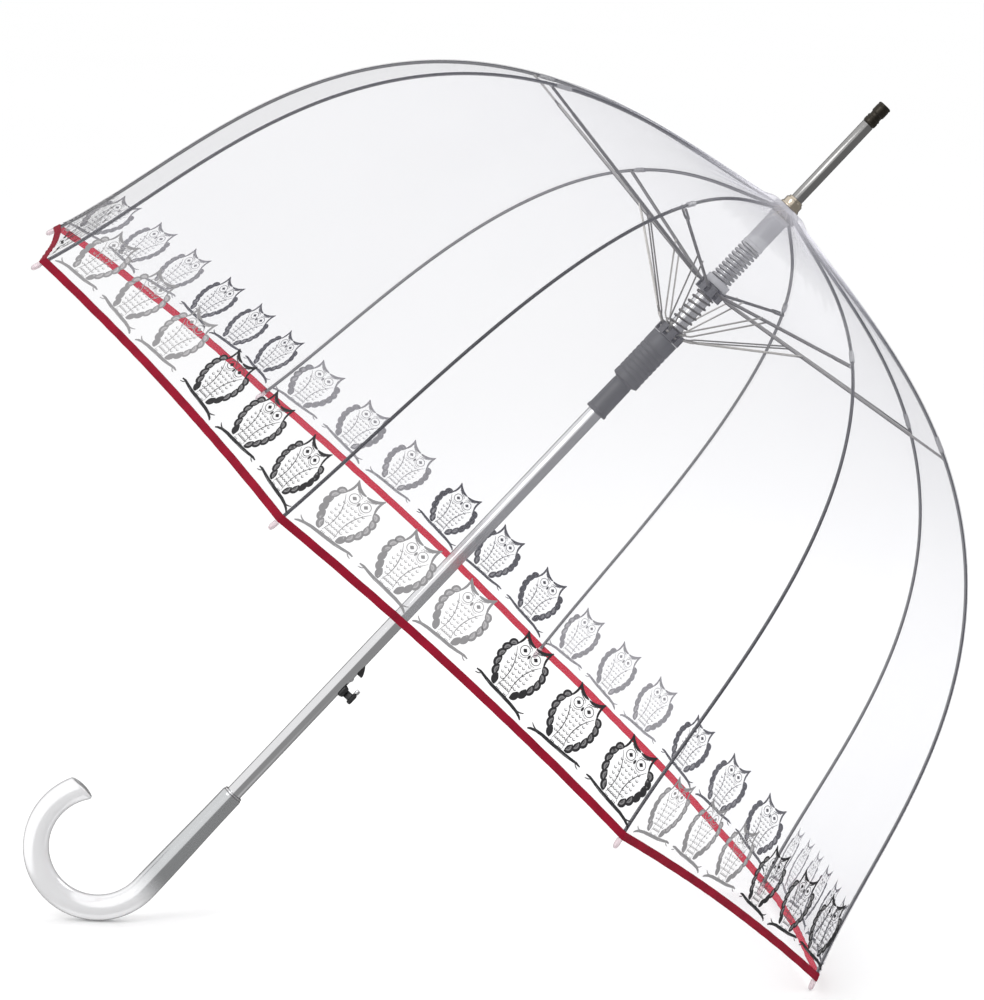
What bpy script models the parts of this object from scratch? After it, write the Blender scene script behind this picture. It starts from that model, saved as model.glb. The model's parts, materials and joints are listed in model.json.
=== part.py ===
"""Dome umbrella with an automatic opening frame, lying open on its crook and two rib tips.

Everything is placed in the umbrella's own frame (+Z from the handle to the tip, the rib
hinges in the plane Z = 0, +X the side that faces the floor) under one tilted empty.
"""
from math import acos, atan2, cos, pi, radians, sin, sqrt

import bmesh
import bpy
from mathutils import Vector

# Canopy and ribs
RIB_COUNT = 8
RIB_LENGTH = 0.661
RIB_START_ANGLE = radians(78.3)     # from the shaft, where the rib leaves the notch
RIB_END_ANGLE = radians(20.7)       # from the shaft, at the hem
RIB_SAG = -0.374                    # bends the even turning of the rib
RIB_SHOULDER = 2.372                # gathers the turning at the shoulder of the dome
RIB_RADIUS = 0.0015
RIB_STATIONS = 18
RIB_TIP_LENGTH = 0.012
RIB_TIP_RADIUS = 0.0022
BRACKET_AT = 0.346                  # share of the rib's length at the strut's pivot
BRACKET_DROP = 0.0015               # pivot below the rib's centre line
FILM_OFFSET = 0.0020                # inner face of the film above the rib's centre line
FILM_THICKNESS = 0.0003
FILM_START = 0.0150                 # radius of the film's edge at the top
HEM_SCALLOP = 0.005                 # the hem's retreat at the middle of a gore
FIT_GAP = 0.0003

# Hinges in the slotted crowns
PIVOT_RADIUS = 0.0100
CROWN_RADIUS = 0.0124
CROWN_CORE = 0.0077
CROWN_HALF_HEIGHT = 0.0042
SLOT_HALF_WIDTH = 0.0020
HINGE_WIRE = 0.0006
HOOK_RADIUS = 0.0014
HOOK_THICKNESS = 0.0005

# Shaft and the pieces on it
SHAFT_RADIUS = 0.0065
SHAFT_WALL = 0.0007
SHAFT_TOP = -0.0050
SHAFT_SOCKET = 0.095
HUB_Z = -0.0850
RUNNER_Z = -0.1320
RUNNER_STEP_Z = -0.1850
RUNNER_BOTTOM_Z = -0.2190
RUNNER_RADIUS = 0.0120
RUNNER_NECK = 0.0086
RUNNER_FLANGE = 0.0094
RUNNER_BORE = 0.0069
SLEEVE_RADIUS = 0.0092
SLEEVE_BOTTOM = -0.0380
SPRING_WIRE = 0.0007
SPRING_PITCH = 0.0050
CATCH_Z = -0.4985
BUTTON_Z = -0.5210
BUTTON_RADIUS = 0.0022
BUTTON_STEM = (0.0026, 0.0034)      # half sizes across and along the shaft
BUTTON_CAP = (0.0042, 0.0047)
BUTTON_TOP_X = 0.0184
FOOT_TOP_X = 0.0098
CATCH_TOP_X = 0.0108

# Struts and links
STRUT_HALF = 0.0014
STRUT_FORK = 0.030
LINK_AT = 0.37                      # share of the strut's length at the link's pivot
LINK_WIRE = 0.0007
LINK_SPREAD = 0.0030

# Tip and handle
FERRULE_RADIUS = 0.0052
TIP_Z = 0.1165
TIP_CAP_LENGTH = 0.020
TIP_CAP_RADIUS = 0.0057
COLLAR_TOP = 0.0140
COLLAR_RADIUS = 0.0088
HANDLE_TOP_Z = -0.6430
CROOK_Z = -0.7473
CROOK_RADIUS = 0.0500
HANDLE_TOP_RADIUS = 0.0090
HANDLE_RADIUS = 0.0104
CROOK_TURN = radians(208)
HANDLE_COLLAR = 0.0014


def new_object(name, vertices, faces, material, parent, location=(0, 0, 0), turn=0.0):
    """A named closed mesh under its parent, turned about the parent's Z."""
    mesh = bpy.data.meshes.new(name)
    mesh.from_pydata([tuple(v) for v in vertices], [], faces)
    mesh.validate()
    obj = bpy.data.objects.new(name, mesh)
    bpy.context.scene.collection.objects.link(obj)
    obj.parent = parent
    obj.location = location
    obj.rotation_euler = (0, 0, turn)
    if material:
        mesh.materials.append(material)
    return obj


def make_material(name, colour, roughness, metallic=0.0, alpha=1.0):
    """One Principled material."""
    material = bpy.data.materials.new(name)
    material.use_nodes = True
    shader = material.node_tree.nodes["Principled BSDF"]
    shader.inputs["Base Color"].default_value = (*colour, 1.0)
    shader.inputs["Roughness"].default_value = roughness
    shader.inputs["Metallic"].default_value = metallic
    shader.inputs["Alpha"].default_value = alpha
    return material


def lathe(profile, sides, closed):
    """Vertices and faces of a profile of (radius, z) turned about Z.

    A closed profile is a ring with a bore. An open one starts and ends on the axis.
    """
    vertices = []
    rings = []
    for radius, z in profile:
        if radius == 0.0:
            rings.append([len(vertices)] * sides)
            vertices.append((0.0, 0.0, z))
            continue
        rings.append(list(range(len(vertices), len(vertices) + sides)))
        for i in range(sides):
            a = 2 * pi * i / sides
            vertices.append((radius * cos(a), radius * sin(a), z))
    faces = []
    pairs = list(zip(rings, rings[1:]))
    if closed:
        pairs.append((rings[-1], rings[0]))
    for low, high in pairs:
        for i in range(sides):
            j = (i + 1) % sides
            corners = [low[i], low[j], high[j], high[i]]
            kept = [c for n, c in enumerate(corners) if c not in corners[:n]]
            faces.append(kept)
    return vertices, faces


def sweep(points, halves, side, sides=6, phase=0.5):
    """Vertices and faces of a rod along points, closed with flat ends.

    side is the direction square to the plane of the path. halves gives, for each
    point, the half width along side and the half thickness in the plane.
    """
    points = [Vector(p) for p in points]
    side = Vector(side)
    vertices = []
    for n, p in enumerate(points):
        before = points[max(n - 1, 0)]
        after = points[min(n + 1, len(points) - 1)]
        along = (after - before).normalized()
        across = along.cross(side)
        width, thickness = halves[n]
        for i in range(sides):
            a = 2 * pi * (i + phase) / sides
            vertices.append(p + side * (width * cos(a)) + across * (thickness * sin(a)))
    faces = []
    for n in range(len(points) - 1):
        for i in range(sides):
            j = (i + 1) % sides
            a, b = n * sides, (n + 1) * sides
            faces.append([a + i, b + i, b + j, a + j])
    last = (len(points) - 1) * sides
    faces.append(list(range(sides)))
    faces.append([last + i for i in reversed(range(sides))])
    return vertices, faces


def coil(radius, wire, low, high, pitch, steps=10, sides=4):
    """Vertices and faces of a round wire wound about Z from low to high."""
    turns = (high - low) / pitch
    count = int(turns * steps) + 1
    vertices = []
    for n in range(count):
        a = 2 * pi * turns * n / (count - 1)
        z = low + (high - low) * n / (count - 1)
        for i in range(sides):
            b = 2 * pi * i / sides
            r = radius + wire * cos(b)
            vertices.append((r * cos(a), r * sin(a), z + wire * sin(b)))
    faces = []
    for n in range(count - 1):
        for i in range(sides):
            j = (i + 1) % sides
            a, b = n * sides, (n + 1) * sides
            faces.append([a + i, a + j, b + j, b + i])
    last = (count - 1) * sides
    faces.append(list(reversed(range(sides))))
    faces.append([last + i for i in range(sides)])
    return vertices, faces


def outward(obj):
    """Turn every face of a closed mesh outwards."""
    solid = bmesh.new()
    solid.from_mesh(obj.data)
    bmesh.ops.recalc_face_normals(solid, faces=solid.faces)
    if solid.calc_volume(signed=True) < 0:
        bmesh.ops.reverse_faces(solid, faces=solid.faces)
    solid.to_mesh(obj.data)
    solid.free()


def combined(obj, tools, operation):
    """Cut or join helper solids into obj, keep the result and remove the helpers."""
    for tool in tools:
        outward(tool)
        modifier = obj.modifiers.new(operation.lower(), "BOOLEAN")
        modifier.operation = operation
        modifier.solver = "EXACT"
        modifier.object = tool
    bpy.context.view_layer.update()
    graph = bpy.context.evaluated_depsgraph_get()
    result = bpy.data.meshes.new_from_object(obj.evaluated_get(graph), depsgraph=graph)
    obj.modifiers.clear()
    obj.data = result
    for tool in tools:
        bpy.data.objects.remove(tool, do_unlink=True)


def block(name, low, high, parent=None, turn=0.0):
    """A box between two corners, used as a helper solid."""
    (x0, y0, z0), (x1, y1, z1) = low, high
    corners = [(x, y, z) for x in (x0, x1) for y in (y0, y1) for z in (z0, z1)]
    faces = [[0, 1, 3, 2], [4, 6, 7, 5], [0, 4, 5, 1], [2, 3, 7, 6], [0, 2, 6, 4], [1, 5, 7, 3]]
    return new_object(name, corners, faces, None, parent, turn=turn)


def rib_curve(stations):
    """Points (radius, z) of a rib's centre line from its hinge to the hem, evenly spaced."""
    fine = 40 * stations
    r, z = PIVOT_RADIUS, HOOK_RADIUS
    points = [(r, z)]
    for n in range(fine):
        u = (n + 0.5) / fine
        angle = RIB_START_ANGLE + (RIB_END_ANGLE - RIB_START_ANGLE) * u
        angle += RIB_SAG * u * (1 - u) + RIB_SHOULDER * u * (1 - u) * (1 - 2 * u)
        r += sin(angle) * RIB_LENGTH / fine
        z -= cos(angle) * RIB_LENGTH / fine
        if (n + 1) % 40 == 0:
            points.append((r, z))
    return points


def normal_at(points, n):
    """Outward unit normal of a (radius, z) line at its point n."""
    a, b = points[max(n - 1, 0)], points[min(n + 1, len(points) - 1)]
    dr, dz = b[0] - a[0], b[1] - a[1]
    size = sqrt(dr * dr + dz * dz)
    return -dz / size, dr / size


def hook(leave_angle):
    """The curled end round a hinge wire at the origin, in the XZ plane.

    It ends where the rod leaves over the wire at leave_angle above the horizontal.
    """
    steps = 6
    points = []
    for n in range(steps + 1):
        a = leave_angle + pi / 2 + radians(235) * (1 - n / steps)
        points.append(Vector((HOOK_RADIUS * cos(a), 0, HOOK_RADIUS * sin(a))))
    return points


def rib_solid(name, material, parent, turn):
    """A round spring-steel rib with its flattened hook round the notch wire."""
    curve = rib_curve(RIB_STATIONS)
    start = RIB_START_ANGLE - pi / 2
    points = hook(start)
    halves = [(RIB_RADIUS, HOOK_THICKNESS)] * len(points)
    for r, z in curve[1:]:
        points.append(Vector((r - PIVOT_RADIUS, 0, z)))
        halves.append((RIB_RADIUS, RIB_RADIUS))
    here = (PIVOT_RADIUS * cos(turn), PIVOT_RADIUS * sin(turn), 0)
    vertices, faces = sweep(points, halves, (0, 1, 0))
    return new_object(name, vertices, faces, material, parent, here, turn)


def rib_tip(name, material, parent, turn):
    """The plastic bead pressed on the end of a rib, beyond the hem."""
    curve = rib_curve(RIB_STATIONS)
    (r, z) = curve[-1]
    along = Vector((sin(RIB_END_ANGLE), 0, -cos(RIB_END_ANGLE)))
    base = Vector((r - PIVOT_RADIUS, 0, z))
    shape = [(0.0, 0.8), (0.15, 1.0), (0.7, 1.0), (0.9, 0.8), (1.0, 0.45)]
    points = [base + along * (FIT_GAP + RIB_TIP_LENGTH * t) for t, _ in shape]
    halves = [(RIB_TIP_RADIUS * k, RIB_TIP_RADIUS * k) for _, k in shape]
    here = (PIVOT_RADIUS * cos(turn), PIVOT_RADIUS * sin(turn), 0)
    vertices, faces = sweep(points, halves, (0, 1, 0), 8)
    return new_object(name, vertices, faces, material, parent, here, turn)


def film_panel(name, material, parent, turn):
    """The film carried by one rib, flat from the rib to the middle of each gore."""
    curve = rib_curve(RIB_STATIONS)
    (r0, z0), (r1, z1) = curve[:2]
    share = (FILM_START - r0) / (r1 - r0)
    curve[0] = (FILM_START, z0 + (z1 - z0) * share)
    count = RIB_STATIONS
    half = pi / RIB_COUNT
    vertices = []
    for lift in (FILM_OFFSET, FILM_OFFSET + FILM_THICKNESS):
        for n, (r, z) in enumerate(curve):
            nr, nz = normal_at(curve, n)
            r, z = r + lift * nr, z + lift * nz
            side_r, side_z = r, z
            if n == count:
                back = HEM_SCALLOP * count / RIB_LENGTH
                side_r += (vertices[-2][0] + PIVOT_RADIUS - r) * back
                side_z += (vertices[-2][2] - z) * back
            mid = side_r * cos(half)
            edge = FIT_GAP / 2
            x = mid * cos(half) + edge * sin(half)
            y = mid * sin(half) - edge * cos(half)
            vertices.append((x - PIVOT_RADIUS, -y, side_z))
            vertices.append((r - PIVOT_RADIUS, 0, z))
            vertices.append((x - PIVOT_RADIUS, y, side_z))
    layer = 3 * (count + 1)
    faces = []
    for n in range(count):
        a, b = 3 * n, 3 * (n + 1)
        for i in (0, 1):
            faces.append([a + i, a + i + 1, b + i + 1, b + i])
            faces.append([layer + a + i, layer + b + i, layer + b + i + 1, layer + a + i + 1])
        faces.append([a, b, layer + b, layer + a])
        faces.append([a + 2, layer + a + 2, layer + b + 2, b + 2])
    last = 3 * count
    for i in (0, 1):
        faces.append([i, layer + i, layer + i + 1, i + 1])
        faces.append([last + i, last + i + 1, layer + last + i + 1, layer + last + i])
    here = (PIVOT_RADIUS * cos(turn), PIVOT_RADIUS * sin(turn), 0)
    return new_object(name, vertices, faces, material, parent, here, turn)


def forked_rod(name, length, fork, spread, half, prong, lift):
    """A rod from a hook at the origin along +X that ends in two prongs round its pivot."""
    curl = hook(0.0)
    root = length - fork
    points = curl + [Vector((0.0045, 0, HOOK_RADIUS * 0.4)), Vector((0.009, 0, 0)), Vector((root, 0, 0))]
    halves = [(STRUT_HALF, HOOK_THICKNESS)] * len(curl)
    halves += [(STRUT_HALF, 0.0009), (half, half), (half, half)]
    rod = new_object(name, *sweep(points, halves, (0, 1, 0)), None, None)
    outward(rod)
    tip = length + 0.0016
    path = [(tip, -spread), (root + 0.004, -spread), (root, -0.5 * spread)]
    path += [(root, 0.5 * spread), (root + 0.004, spread), (tip, spread)]
    points = [Vector((x - 0.0006, y, 0)) for x, y in path]
    thick = [(lift, prong)] * len(points)
    yoke = new_object(name + "_yoke", *sweep(points, thick, (0, 0, 1), 4), None, None)
    combined(rod, [yoke], "UNION")
    return rod


def copies(base, stem, material, parent, pivot_z, rise):
    """Eight of a finished rod round the shaft, hinged at pivot_z and raised by rise."""
    made = []
    for k in range(RIB_COUNT):
        turn = azimuth(k)
        obj = bpy.data.objects.new(f"{stem}_{k + 1}", base.data.copy())
        bpy.context.scene.collection.objects.link(obj)
        obj.parent = parent
        obj.location = (PIVOT_RADIUS * cos(turn), PIVOT_RADIUS * sin(turn), pivot_z)
        obj.rotation_mode = "ZYX"
        obj.rotation_euler = (0, -rise, turn)
        obj.rotation_mode = "XYZ"
        obj.data.materials.clear()
        obj.data.materials.append(material)
        made.append(obj)
    bpy.data.objects.remove(base, do_unlink=True)
    return made


def azimuth(k):
    """Angle of rib k about the shaft from the side that faces the floor."""
    return 2 * pi * (k + 0.5) / RIB_COUNT


def slotted_crown(name, z, bore, below, material, parent):
    """A ring with eight slots for hooks and a groove from above for their wire."""
    groove = HINGE_WIRE + FIT_GAP
    top, bottom = CROWN_HALF_HEIGHT, -CROWN_HALF_HEIGHT - below
    profile = [
        (bore, bottom),
        (CROWN_RADIUS, bottom),
        (CROWN_RADIUS, top),
        (PIVOT_RADIUS + groove, top),
        (PIVOT_RADIUS + groove, -groove),
        (PIVOT_RADIUS - groove, -groove),
        (PIVOT_RADIUS - groove, top),
        (bore, top),
    ]
    crown = new_object(name, *lathe(profile, 32, True), None, None)
    outward(crown)
    tools = []
    for k in range(RIB_COUNT):
        low = (CROWN_CORE, -SLOT_HALF_WIDTH, -CROWN_HALF_HEIGHT)
        high = (0.02, SLOT_HALF_WIDTH, CROWN_HALF_HEIGHT + 0.001)
        tools.append(block(f"{name}_slot_{k}", low, high, None, azimuth(k)))
    combined(crown, tools, "DIFFERENCE")
    crown.parent = parent
    crown.location = (0, 0, z)
    crown.data.materials.append(material)
    return crown


def hinge_wire(name, z, material, parent):
    """The thin wire ring that every hook of one crown turns on."""
    profile = []
    for i in range(6):
        a = 2 * pi * i / 6
        profile.append((PIVOT_RADIUS + HINGE_WIRE * cos(a), HINGE_WIRE * sin(a)))
    return new_object(name, *lathe(profile, 24, True), material, parent, (0, 0, z))


def ring(name, inner, outer, low, high, sides, material, parent):
    """A plain tube about the shaft."""
    profile = [(inner, low), (outer, low), (outer, high), (inner, high)]
    return new_object(name, *lathe(profile, sides, True), material, parent)


def pin(name, radius, low, high, z, sides, parent=None):
    """A round pin along X at height z, from x = low to x = high."""
    points = [Vector((low, 0, z)), Vector((high, 0, z))]
    return new_object(name, *sweep(points, [(radius, radius)] * 2, (0, 1, 0), sides), None, parent)


def build_shaft(steel, parent):
    """The drawn tube with holes for the catch and the release button."""
    bottom = HANDLE_TOP_Z - SHAFT_SOCKET
    inner = SHAFT_RADIUS - SHAFT_WALL
    profile = [(inner, bottom), (SHAFT_RADIUS, bottom), (SHAFT_RADIUS, SHAFT_TOP), (inner, SHAFT_TOP)]
    tube = new_object("shaft_tube", *lathe(profile, 24, True), None, None)
    outward(tube)
    slot = block("catch_slot", (0.002, -0.0019, CATCH_Z - 0.0065), (0.02, 0.0019, CATCH_Z + 0.0065))
    hole = pin("button_hole", BUTTON_RADIUS + FIT_GAP, 0.002, 0.02, BUTTON_Z, 12)
    combined(tube, [slot, hole], "DIFFERENCE")
    tube.parent = parent
    tube.data.materials.append(steel)


def build_top(metal, bronze, steel, grey, parent):
    """Notch, ferrule, tip cap and the collar that clamps the film."""
    rod = [(0.0, -0.0040), (FERRULE_RADIUS, -0.0040), (FERRULE_RADIUS, TIP_Z - TIP_CAP_LENGTH - FIT_GAP)]
    rod.append((0.0, TIP_Z - TIP_CAP_LENGTH - FIT_GAP))
    new_object("ferrule_rod", *lathe(rod, 20, False), metal, parent)
    low = TIP_Z - TIP_CAP_LENGTH
    cap = [(0.0, low), (TIP_CAP_RADIUS * 0.93, low), (TIP_CAP_RADIUS, low + 0.002)]
    cap += [(TIP_CAP_RADIUS, low + 0.006), (TIP_CAP_RADIUS * 0.88, low + 0.007)]
    cap += [(TIP_CAP_RADIUS * 0.88, low + 0.010), (TIP_CAP_RADIUS, low + 0.011)]
    cap += [(TIP_CAP_RADIUS, TIP_Z - 0.001), (TIP_CAP_RADIUS * 0.85, TIP_Z), (0.0, TIP_Z)]
    new_object("tip_cap", *lathe(cap, 20, False), bronze, parent)
    inner = FERRULE_RADIUS + FIT_GAP
    collar = [(inner, 0.0052), (COLLAR_RADIUS, 0.0052), (COLLAR_RADIUS, 0.0068), (0.0078, 0.0080)]
    collar += [(0.0074, 0.0120), (0.0064, COLLAR_TOP), (inner, COLLAR_TOP)]
    new_object("apex_collar", *lathe(collar, 24, True), steel, parent)
    slotted_crown("top_notch", 0.0, inner, 0.0, grey, parent)
    hinge_wire("notch_wire", 0.0, steel, parent)


def build_sleeve_and_buffer(grey, steel, parent):
    """The fixed sleeve under the notch and the buffer spring that meets the hub."""
    ring("top_sleeve", SHAFT_RADIUS + FIT_GAP, SLEEVE_RADIUS, SLEEVE_BOTTOM, -0.0046, 20, grey, parent)
    low = HUB_Z + CROWN_HALF_HEIGHT + SPRING_WIRE + FIT_GAP
    high = SLEEVE_BOTTOM - SPRING_WIRE - FIT_GAP
    buffer = coil(0.0084, SPRING_WIRE, low, high, SPRING_PITCH)
    new_object("buffer_spring", *buffer, steel, parent)


def build_handle(pearl, steel, parent):
    """The moulded crook with its socket, and the metal collar at its mouth."""
    points = [Vector((0, 0, HANDLE_TOP_Z))]
    halves = [HANDLE_TOP_RADIUS]
    for share in (0.45, 0.8, 1.0):
        points.append(Vector((0, 0, HANDLE_TOP_Z + (CROOK_Z - HANDLE_TOP_Z) * share)))
        halves.append(HANDLE_TOP_RADIUS + (HANDLE_RADIUS - HANDLE_TOP_RADIUS) * share)
    steps = 18
    for n in range(1, steps + 1):
        a = CROOK_TURN * n / steps
        points.append(Vector((CROOK_RADIUS * (cos(a) - 1), 0, CROOK_Z - CROOK_RADIUS * sin(a))))
        halves.append(HANDLE_RADIUS)
    shape = sweep(points, [(h, h) for h in halves], (0, 1, 0), 16)
    handle = new_object("crook_handle", *shape, None, None)
    outward(handle)
    depth = HANDLE_TOP_Z - SHAFT_SOCKET - FIT_GAP
    bore = [(0.0, depth), (SHAFT_RADIUS + FIT_GAP, depth), (SHAFT_RADIUS + FIT_GAP, 0.0), (0.0, 0.0)]
    socket = new_object("socket", *lathe(bore, 24, False), None, None)
    combined(handle, [socket], "DIFFERENCE")
    handle.parent = parent
    handle.data.materials.append(pearl)
    low = HANDLE_TOP_Z + FIT_GAP
    ring("handle_collar", SHAFT_RADIUS + FIT_GAP, 0.0086, low, low + HANDLE_COLLAR, 24, steel, parent)


def build_release(black, parent):
    """The button on its saddle, and the catch that holds the closed runner."""
    wide, tall = BUTTON_STEM
    foot_path = [Vector((x, 0, BUTTON_Z)) for x in (0.0040, FOOT_TOP_X - 0.0020, FOOT_TOP_X)]
    foot_halves = [(wide + 0.0020, tall + 0.0016), (wide + 0.0020, tall + 0.0016), (wide + 0.0010, tall + 0.0008)]
    foot = new_object("button_housing", *sweep(foot_path, foot_halves, (0, 1, 0), 8), None, None)
    outward(foot)
    tube_space = [(0.0, BUTTON_Z - 0.02), (SHAFT_RADIUS + FIT_GAP, BUTTON_Z - 0.02)]
    tube_space += [(SHAFT_RADIUS + FIT_GAP, BUTTON_Z + 0.02), (0.0, BUTTON_Z + 0.02)]
    tube = new_object("tube_space", *lathe(tube_space, 24, False), None, None)
    hole_path = [Vector((0.002, 0, BUTTON_Z)), Vector((0.02, 0, BUTTON_Z))]
    hole_halves = [(wide + FIT_GAP, tall + FIT_GAP)] * 2
    hole = new_object("stem_space", *sweep(hole_path, hole_halves, (0, 1, 0), 8), None, None)
    combined(foot, [tube, hole], "DIFFERENCE")
    foot.parent = parent
    foot.data.materials.append(black)
    round_pin = (BUTTON_RADIUS, BUTTON_RADIUS)
    stem_low = SHAFT_RADIUS + 0.0035
    cap_low = BUTTON_TOP_X - 0.0034
    stations = [(0.0035, round_pin), (stem_low, round_pin), (stem_low, BUTTON_STEM), (cap_low, BUTTON_STEM)]
    stations += [(cap_low, BUTTON_CAP), (BUTTON_TOP_X - 0.0006, BUTTON_CAP), (BUTTON_TOP_X, (0.0036, 0.0040))]
    path = [Vector((x, 0, BUTTON_Z)) for x, _ in stations]
    halves = [half for _, half in stations]
    new_object("release_button", *sweep(path, halves, (0, 1, 0), 8), black, parent)
    catch_faces = [[0, 1, 2, 3, 4], [9, 8, 7, 6, 5]]
    catch_faces += [[n, n + 5, (n + 1) % 5 + 5, (n + 1) % 5] for n in range(5)]
    outline = [(0.0035, CATCH_Z - 0.005), (CATCH_TOP_X, CATCH_Z - 0.005), (CATCH_TOP_X, CATCH_Z - 0.0030)]
    outline += [(SHAFT_RADIUS, CATCH_Z + 0.0045), (0.0035, CATCH_Z + 0.006)]
    corners = [(x, y, z) for y in (-0.0016, 0.0016) for x, z in outline]
    new_object("runner_catch", corners, catch_faces, black, parent)


def build_runner(grey, steel, parent):
    """The sliding runner: sleeve with a neck and flange, link crown, wire and spring."""
    top = RUNNER_Z - CROWN_HALF_HEIGHT - 0.001 - FIT_GAP
    profile = [
        (RUNNER_BORE, RUNNER_BOTTOM_Z),
        (RUNNER_FLANGE, RUNNER_BOTTOM_Z),
        (RUNNER_FLANGE, RUNNER_BOTTOM_Z + 0.003),
        (RUNNER_NECK, RUNNER_BOTTOM_Z + 0.004),
        (RUNNER_NECK, RUNNER_STEP_Z - 0.002),
        (RUNNER_RADIUS, RUNNER_STEP_Z),
        (RUNNER_RADIUS, top),
        (RUNNER_BORE, top),
    ]
    new_object("runner_sleeve", *lathe(profile, 24, True), grey, parent)
    slotted_crown("runner_crown", RUNNER_Z, RUNNER_BORE, 0.001, grey, parent)
    hinge_wire("runner_wire", RUNNER_Z, steel, parent)
    low = RUNNER_Z + CROWN_HALF_HEIGHT + SPRING_WIRE + FIT_GAP
    high = HUB_Z - CROWN_HALF_HEIGHT - 0.001 - SPRING_WIRE - FIT_GAP
    spring = coil(0.0077, SPRING_WIRE, low, high, SPRING_PITCH)
    new_object("opening_spring", *spring, steel, parent)


def build_hub(grey, steel, parent):
    """The spreader hub above the runner, with the wire that the struts turn on."""
    slotted_crown("spreader_hub", HUB_Z, RUNNER_BORE, 0.001, grey, parent)
    hinge_wire("hub_wire", HUB_Z, steel, parent)


def build_canopy(dark, clear, film, parent):
    """Eight ribs, each with its end bead and its share of the film."""
    for k in range(RIB_COUNT):
        rib_solid(f"rib_{k + 1}", dark, parent, azimuth(k))
        rib_tip(f"rib_tip_{k + 1}", clear, parent, azimuth(k))
        film_panel(f"film_{k + 1}", film, parent, azimuth(k))


def bracket_point():
    """Pivot of a strut on its rib, as (radius, z)."""
    curve = rib_curve(200)
    n = round(BRACKET_AT * 200)
    nr, nz = normal_at(curve, n)
    return curve[n][0] - BRACKET_DROP * nr, curve[n][1] - BRACKET_DROP * nz


def build_struts_and_links(dark, wire, parent):
    """Struts from the hub to the ribs, and wire links from the runner to the struts."""
    r, z = bracket_point()
    across, up = r - PIVOT_RADIUS, z - HUB_Z
    length, rise = sqrt(across * across + up * up), atan2(up, across)
    strut = forked_rod("strut", length, STRUT_FORK, 0.0023, STRUT_HALF, 0.0004, 0.0013)
    copies(strut, "strut", dark, parent, HUB_Z, rise)
    across = LINK_AT * length * cos(rise)
    up = HUB_Z + LINK_AT * length * sin(rise) - RUNNER_Z
    length, rise = sqrt(across * across + up * up), atan2(up, across)
    link = forked_rod("link", length, length - 0.012, LINK_SPREAD, 0.0011, LINK_WIRE, LINK_WIRE)
    copies(link, "link", wire, parent, RUNNER_Z, rise)


def rest_tilt():
    """Angle of the shaft above the floor when the crook and two rib tips touch it.

    Both supports stand at the same height, which gives a*sin - b*cos = -c.
    """
    r, z = rib_curve(RIB_STATIONS)[-1]
    reach = RIB_TIP_LENGTH + FIT_GAP
    tip_r = (r + reach * sin(RIB_END_ANGLE)) * cos(pi / RIB_COUNT)
    tip_z = z - reach * cos(RIB_END_ANGLE)
    a = tip_z - CROOK_Z
    b = tip_r + CROOK_RADIUS
    c = CROOK_RADIUS + HANDLE_RADIUS
    return atan2(b, a) - (pi / 2 - acos(c / sqrt(a * a + b * b)))


def settle(parent):
    """Set the whole umbrella on the floor, centred over the origin."""
    bpy.context.view_layer.update()
    lows = [1e9] * 3
    highs = [-1e9] * 3
    for obj in bpy.data.objects:
        if obj.type != "MESH":
            continue
        for v in obj.data.vertices:
            p = obj.matrix_world @ v.co
            lows = [min(a, b) for a, b in zip(lows, p)]
            highs = [max(a, b) for a, b in zip(highs, p)]
    parent.location = (-(lows[0] + highs[0]) / 2, 0.0, -lows[2])


def main():
    for obj in list(bpy.data.objects):
        bpy.data.objects.remove(obj, do_unlink=True)
    frame = bpy.data.objects.new("umbrella_frame", None)
    bpy.context.scene.collection.objects.link(frame)
    tilt = rest_tilt()
    frame.rotation_euler = (0, pi / 2 - tilt, 0)

    steel = make_material("bright_steel", (0.75, 0.75, 0.77), 0.25, 1.0)
    dark = make_material("dark_steel", (0.10, 0.10, 0.11), 0.4, 0.8)
    wire = make_material("link_wire", (0.35, 0.35, 0.37), 0.35, 1.0)
    metal = make_material("ferrule_metal", (0.45, 0.45, 0.47), 0.3, 1.0)
    bronze = make_material("tip_bronze", (0.10, 0.08, 0.07), 0.4, 0.9)
    grey = make_material("grey_plastic", (0.30, 0.30, 0.32), 0.45)
    black = make_material("black_plastic", (0.02, 0.02, 0.02), 0.4)
    pearl = make_material("pearl_plastic", (0.80, 0.80, 0.82), 0.2)
    clear = make_material("clear_plastic", (0.85, 0.80, 0.82), 0.15, 0.0, 0.6)
    film = make_material("clear_film", (0.90, 0.90, 0.93), 0.1, 0.0, 0.25)

    build_shaft(steel, frame)
    build_top(metal, bronze, steel, grey, frame)
    build_sleeve_and_buffer(grey, steel, frame)
    build_handle(pearl, steel, frame)
    build_release(black, frame)
    build_runner(grey, steel, frame)
    build_hub(grey, steel, frame)
    build_canopy(dark, clear, film, frame)
    build_struts_and_links(dark, wire, frame)
    for obj in bpy.data.objects:
        if obj.type == "MESH":
            outward(obj)
    settle(frame)


main()
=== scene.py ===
import json
import math

import bmesh
import bpy
import numpy as np
from mathutils import Matrix, Vector


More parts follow.
